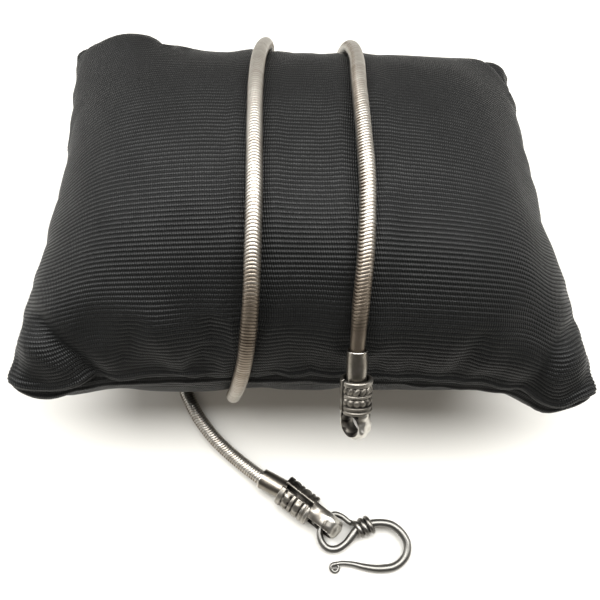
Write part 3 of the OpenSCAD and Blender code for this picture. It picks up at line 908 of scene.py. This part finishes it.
def add_strip(parts, cap, inner, dent):
    """The beaded strip, rolled from one side of its open seam round to the other."""
    length, outside = cap.length, cap.diameter / 2
    half = math.asin(cap.seam / cap.diameter)
    a = np.linspace(half, TAU - half, STRIP_COLUMNS)[None, :]
    z = np.linspace(0, length, STRIP_ROWS)[:, None]
    run = (a - half) * outside
    whole = (TAU - 2 * half) * outside
    # Plain margins at both sides of the open seam
    margin = smoothstep(0.1, 0.32, np.minimum(run, whole - run))
    h = strip_height(z, a, cap) * margin + 0.55 * (1 - margin)
    # The strip's inner end, beside one edge of the seam, is nearly plain
    beyond = run if cap.plain_side > 0 else whole - run
    plain = 1 - smoothstep(0.9, 2.2, beyond)
    h = h * (1 - 0.8 * plain) + 0.6 * plain * smoothstep(0, 0.25, z) * smoothstep(0, 0.25, length - z)
    end = np.minimum(smoothstep(0, 0.16, z), 1 - smoothstep(length - 0.14, length, z))
    side = smoothstep(0, 0.12, run) * (1 - smoothstep(whole - 0.12, whole, run))
    radius = outside - STRIP_T + STRIP_T * h - 0.12 * (1 - end) - 0.1 * (1 - side)
    turn = a + math.radians(cap.seam_turn)
    radius = radius + DENT_DEPTH * dent(radius * np.cos(turn), radius * np.sin(turn), z)
    shells = [np.stack([r * np.cos(turn), r * np.sin(turn), z + 0 * r], -1)
              for r in (radius, np.full(radius.shape, inner))]
    wear_and_painted_shade = np.clip(0.02 + cap.wear * h ** 1.3 + 0.3 * (1 - side) + 0.15 * (1 - end), 0, 1)
    # Painted shade on the strip just beyond the seam, on its plain side, where the strip turns away from the
    # light
    wear_and_painted_shade = wear_and_painted_shade * (1 - cap.painted_shade * smoothstep(0.12, 0.3, beyond) * (1 - smoothstep(1.6, 3.4, beyond)))
    start = parts.patch(np.concatenate([shells[0], shells[1][::-1]]),
                        np.concatenate([wear_and_painted_shade, np.full(wear_and_painted_shade.shape, 0.1)]), loop_rows=True)
    # The strip's two ends, at the seam
    index = start + np.arange(2 * STRIP_ROWS * STRIP_COLUMNS).reshape(-1, STRIP_COLUMNS)
    for column, turned in ((index[:, 0], True), (index[:, -1], False)):
        for k in range(STRIP_ROWS - 1):
            quad = [column[k], column[k + 1], column[-2 - k], column[-1 - k]]
            parts.faces.append(quad[::-1] if turned else quad)


def add_core(parts, cap, inner):
    """The solid core that the strip is wrapped round, with a cup for the ferrule and the soldered end."""
    core, length = inner + 0.02, cap.length
    base = cap.diameter / 2 - STRIP_T
    parts.lathe([
        (0.01, CUP_DEPTH, 0), (core, CUP_DEPTH, 0), (core, length * 0.5, 0.05), (core, length - 0.12, 0.1),
        (base + 0.2, length - 0.1, 0.4), (base + 0.12, length + 0.02, 0.6), (base - 0.3, length + 0.12, 0.4),
        (base * 0.6, length + 0.4, 0.3), (0.01, length + 0.55, 0.3)], CORE_SIDES)


def turned_hole(w, h, z, cap):
    """Points at w beside the hole, h along it and height z. Before the turn the hole runs along y."""
    spin = math.radians(cap.hole_turn - 90)
    return np.stack([w * math.cos(spin) - h * math.sin(spin), w * math.sin(spin) + h * math.cos(spin), z], -1)


def fuller(values, power):
    """Sines or cosines pressed outwards, so that a round section nears a rectangle."""
    return np.sign(values) * np.abs(values) ** power


def add_eye(parts, cap, dent, crease):
    """The band eye: a strap bent over its hole and let into the barrel's end."""
    mid = (cap.eye_d + cap.hole_d) / 4
    thickness = (cap.eye_d - cap.hole_d) / 2
    centre = cap.length + cap.reach
    straight = np.linspace(cap.length - 0.3, centre, 14)[:-1]
    arc = np.radians(np.linspace(180, 0, 38))
    path = np.concatenate([np.stack([-mid * np.ones_like(straight), straight], 1),
                           np.stack([mid * np.cos(arc), centre + mid * np.sin(arc)], 1),
                           np.stack([mid * np.ones_like(straight), straight[::-1]], 1)])
    share = lengths(path) / lengths(path)[-1]
    tangent = unit(np.gradient(path, axis=0))
    out = np.stack([-tangent[:, 1], tangent[:, 0]], 1)
    out *= np.sign((out * (path - vec(0, centre - cap.reach * 0.6))).sum(1, keepdims=True))
    angle = TAU * np.arange(STRAP_SIDES) / STRAP_SIDES
    across = fuller(np.cos(angle), 0.85)
    thick = fuller(np.sin(angle), 0.9)
    swollen = thick * thickness / 2 + np.where(thick > 0, cap.dome, -cap.hole_dome) * (1 - across ** 2)
    w = path[:, 0][:, None] + out[:, 0][:, None] * swollen
    z = path[:, 1][:, None] + out[:, 1][:, None] * swollen
    h = across * cap.eye_width / 2 * follow(STRAP_WIDTH, share)[:, None]
    # Dents in its outer face
    lump = cap.crumple * (0.8 * dent(w * 0.9, h * 0.9, z * 0.9) + 0.6 * crease(w, h, z))
    w = w + out[:, 0][:, None] * lump * (thick > 0.2)
    z = z + out[:, 1][:, None] * lump * (thick > 0.2)
    wear = cap.eye_wear * follow(STRAP_WEAR, share)[:, None] * np.where(thick > -0.1, 0.9, 0.1) + 2.5 * lump
    parts.closed_tube(turned_hole(w, h, z, cap), wear)
    # The strap closes to a round hole above the barrel's end
    low = np.radians(np.linspace(178, 362, 30))[:, None]
    ring = mid + 0.96 * swollen
    h = 0.94 * across * cap.eye_width / 2 * np.ones_like(low)
    parts.closed_tube(turned_hole(ring * np.cos(low), h, centre + ring * np.sin(low), cap), 0.15, flip=True)


def make_cap(name, node, place, cap):
    inner = cap.diameter / 2 - STRIP_T - CUP_WALL
    dent = waves(cap.seed, 16, 0.8, 3.0, 3)
    crease = waves(cap.seed + 7, 24, 2.5, 6.0, 3)
    parts = Parts()
    add_strip(parts, cap, inner, dent)
    add_core(parts, cap, inner)
    add_eye(parts, cap, dent, crease)
    parts.make(name, cap_silver, "cap_silver", node, place)


def make_ends():
    loop_turn = rotation(("X", 90 + LOOP_SLOPE))
    hook_turn = rotation(("Y", 90), ("Z", HOOK_HEADING))
    ferrule_turn = rotation(("Y", 90), ("Z", HOOK_FERRULE_HEADING))
    heading = math.radians(HOOK_HEADING)
    ferrule_end = HOOK_RIM + HOOK_FERRULE_IN * vec(math.cos(heading), math.sin(heading), 0)
    make_ferrule("loop_end_tube", "loop_end_ferrule", LOOP_FERRULE_D, LOOP_FERRULE_LENGTH,
                 placing(loop_turn, LOOP_RIM, CUP_DEPTH - SLIP - LOOP_FERRULE_LENGTH), 31)
    make_ferrule("hook_end_tube", "hook_end_ferrule", HOOK_FERRULE_D, HOOK_FERRULE_LENGTH,
                 placing(ferrule_turn, ferrule_end, -HOOK_FERRULE_LENGTH), 32)
    make_cap("loop_end_barrel", "loop_end_cap", placing(loop_turn, LOOP_RIM), LOOP)
    make_cap("hook_end_barrel", "hook_end_cap", placing(hook_turn, HOOK_RIM), HOOK_END)


# The hook and its binding

FULL_R = 0.74
# The wire's points on the floor plan, with its radius at each
HOOK_LINE = [
    [9.2, -54.9, 0.48], [7.9, -53.9, 0.5], [6.4, -53.5, 0.52], [5, -54.5, 0.54], [3.8, -56.2, 0.56],
    [3.9, -58, 0.6], [5.1, -59.3, 0.62], [6.9, -59.4, 0.64], [8.6, -58.4, 0.66], [9.8, -57.1, FULL_R],
    [10.7, -56.1, FULL_R], [12.1, -55.6, FULL_R], [13.5, -55.1, FULL_R], [15.4, -55, FULL_R],
    [17.2, -55.4, FULL_R], [18.8, -56.6, FULL_R], [19.8, -58.3, FULL_R], [19.7, -60.1, FULL_R],
    [18.7, -61.5, FULL_R], [17.2, -62.4, FULL_R], [15.4, -62.7, FULL_R], [13.6, -62.7, 0.68],
    [11.6, -62.4, 0.6], [9.8, -62, 0.5], [8, -61.8, 0.44], [6.9, -61.9, 0.4]]
HOOK_PARTS, HOOK_SIDES = 10, 24
HOOK_WEAR, BINDING_WEAR = 0.62, 0.6
# The scroll at the hook's tip: its middle, its first and last angle in degrees, and its steps
SCROLL_MIDDLE = (6.35, -62.55)
SCROLL_FROM, SCROLL_TO, SCROLL_STEPS = 110, 610, 44
# Radius of the scroll and of its wire, by the share of the scroll
SCROLL_RADIUS = [(0, 0.62), (0.5, 0.7), (1, 0.18)]
SCROLL_WIRE = [(0, 0.4), (1, 0.22)]

BINDING_FROM, BINDING_TO = (10.7, -56.1), (13.4, -55.15)
BINDING_R, BINDING_GAP = 0.475, 0.1
BINDING_TURNS, BINDING_START = 2.75, 0.055
BINDING_STEPS, BINDING_PARTS, BINDING_SIDES = 40, 4, 16
BINDING_LEAD = [(8.75, -54.5), (9.2, -54.85), (9.75, -55.05)]


def on_hook_plane(x, y):
    """A point of the tilted plane that the hook lies in."""
    return vec(x, y, 0.75 + 0.007 * (x - 15.8) + 0.181 * (y + 62.7))


def make_hook():
    # The tip is rolled into a small scroll of nearly one turn and a half
    turn = np.radians(np.linspace(SCROLL_FROM, SCROLL_TO, SCROLL_STEPS)[1:])
    share = np.linspace(0, 1, len(turn))
    away = follow(SCROLL_RADIUS, share)
    curl = np.stack([SCROLL_MIDDLE[0] + away * np.cos(turn), SCROLL_MIDDLE[1] + away * np.sin(turn),
                     follow(SCROLL_WIRE, share)], 1)
    flat = np.concatenate([spline(HOOK_LINE, HOOK_PARTS), curl])
    path = np.array([on_hook_plane(x, y) for x, y, radius in flat])
    parts = wire(path, flat[:, 2], HOOK_SIDES, HOOK_WEAR, 4, hammered(51, 12, 0.25, 1.3, 0.022, 1.4))
    parts.make("wire_hook", hook_silver, "hook_silver", "hook")


def make_binding():
    start, stop = on_hook_plane(*BINDING_FROM), on_hook_plane(*BINDING_TO)
    axis = unit(stop - start)
    side = unit(vec(0, 1, 0) - axis * axis[1])
    up = np.cross(axis, side)
    share = np.linspace(BINDING_START, 1, BINDING_STEPS)[:, None]
    angle = TAU * BINDING_TURNS * share
    reach = FULL_R + BINDING_GAP + BINDING_R
    coil = start + (stop - start) * share + reach * (side * np.cos(angle) + up * np.sin(angle))
    # The wire comes from the end of the hook's loop
    lead = [on_hook_plane(x, y) for x, y in BINDING_LEAD]
    path = spline(np.concatenate([lead, coil]), BINDING_PARTS)
    parts = wire(path, np.full(len(path), BINDING_R), BINDING_SIDES, BINDING_WEAR, 3,
                 hammered(52, 8, 0.5, 2.0, 0.03, 1))
    parts.make("wound_wire", binding_silver, "binding_silver", "hook_binding")


# Floor, light and camera

FLOOR_COLOURS = [(0, (0.535, 0.528, 0.5)), (1, (0.555, 0.549, 0.525))]
# The room is dark towards the front, and bright behind and at the sides
ROOM_COLOURS = [(0, (0.08, 0.075, 0.07)), (0.45, (0.11, 0.105, 0.1)),
                (0.75, (0.58, 0.58, 0.57)), (1, (0.66, 0.64, 0.61))]
ROOM_SIDES = 0.15
# Area lights, in metres and watts. Only the floor and the cloth take up light that isn't glossy
LIGHTS = [
    dict(name="key_above", place=(0.15, 0.03, 0.6), target=(0.15, 0.02, 0), size=(1.4, 0.36), watts=15,
         colour=(1.0, 0.995, 0.98)),
    dict(name="fill_left", place=(-0.6, 0.1, 0.3), target=(0, 0, 0.02), size=(0.3, 0.3), watts=1.2),
    dict(name="fill_front", place=(0.05, -0.45, 0.42), target=(0, -0.03, 0), size=(0.9, 0.3), watts=1.3,
         colour=(1.0, 0.91, 0.8), glossy=False),
]
CAMERA_TILT = 30


def make_floor():
    material, nodes, bsdf = shader("floor_paper")
    nodes.fill(bsdf, {"Base Color": nodes.ramp(nodes.noise(40, 2), FLOOR_COLOURS), "Roughness": 0.6})
    bpy.ops.mesh.primitive_plane_add(size=3.0, location=(0, 0, 0))
    floor = bpy.context.object
    floor.name = "floor"
    floor.data.materials.append(material)


def make_room():
    world = bpy.data.worlds.new("studio")
    bpy.context.scene.world = world
    world.use_nodes = True
    nodes = Nodes(world.node_tree)
    direction = nodes.split(nodes.coordinates("Generated"))
    sides = nodes.math("MULTIPLY", nodes.math("ABSOLUTE", direction[0]), ROOM_SIDES)
    place = nodes.math("ADD", nodes.math("MULTIPLY", direction[1], 0.5), 0.5)
    place = nodes.math("ADD", place, sides, clamp=True)
    background = world.node_tree.nodes["Background"]
    nodes.fill(background, {"Color": nodes.ramp(place, ROOM_COLOURS), "Strength": 1.0})


def add_light(name, place, target, size, watts, colour=(1, 1, 1), glossy=True):
    light = bpy.data.lights.new(name, "AREA")
    light.shape = "RECTANGLE"
    light.size, light.size_y = size
    light.energy = watts
    light.color = colour
    obj = bpy.data.objects.new(name, light)
    obj.location = place
    obj.rotation_euler = (Vector(target) - Vector(place)).to_track_quat("-Z", "Y").to_euler()
    obj.visible_glossy = glossy
    bpy.context.scene.collection.objects.link(obj)


def make_camera():
    camera = bpy.data.cameras.new("camera")
    camera.lens = 36.0
    camera.sensor_width = 36.0
    camera.clip_start = 0.01
    obj = bpy.data.objects.new("camera", camera)
    obj.location = CAMERA_PLACE * MM
    obj.rotation_euler = (math.radians(CAMERA_TILT), 0, 0)
    scene = bpy.context.scene
    scene.collection.objects.link(obj)
    scene.camera = obj
    scene.view_settings.view_transform = "Standard"


make_cushion()
make_chain()
make_ends()
make_hook()
make_binding()
make_floor()
make_room()
for settings in LIGHTS:
    add_light(**settings)
make_camera()
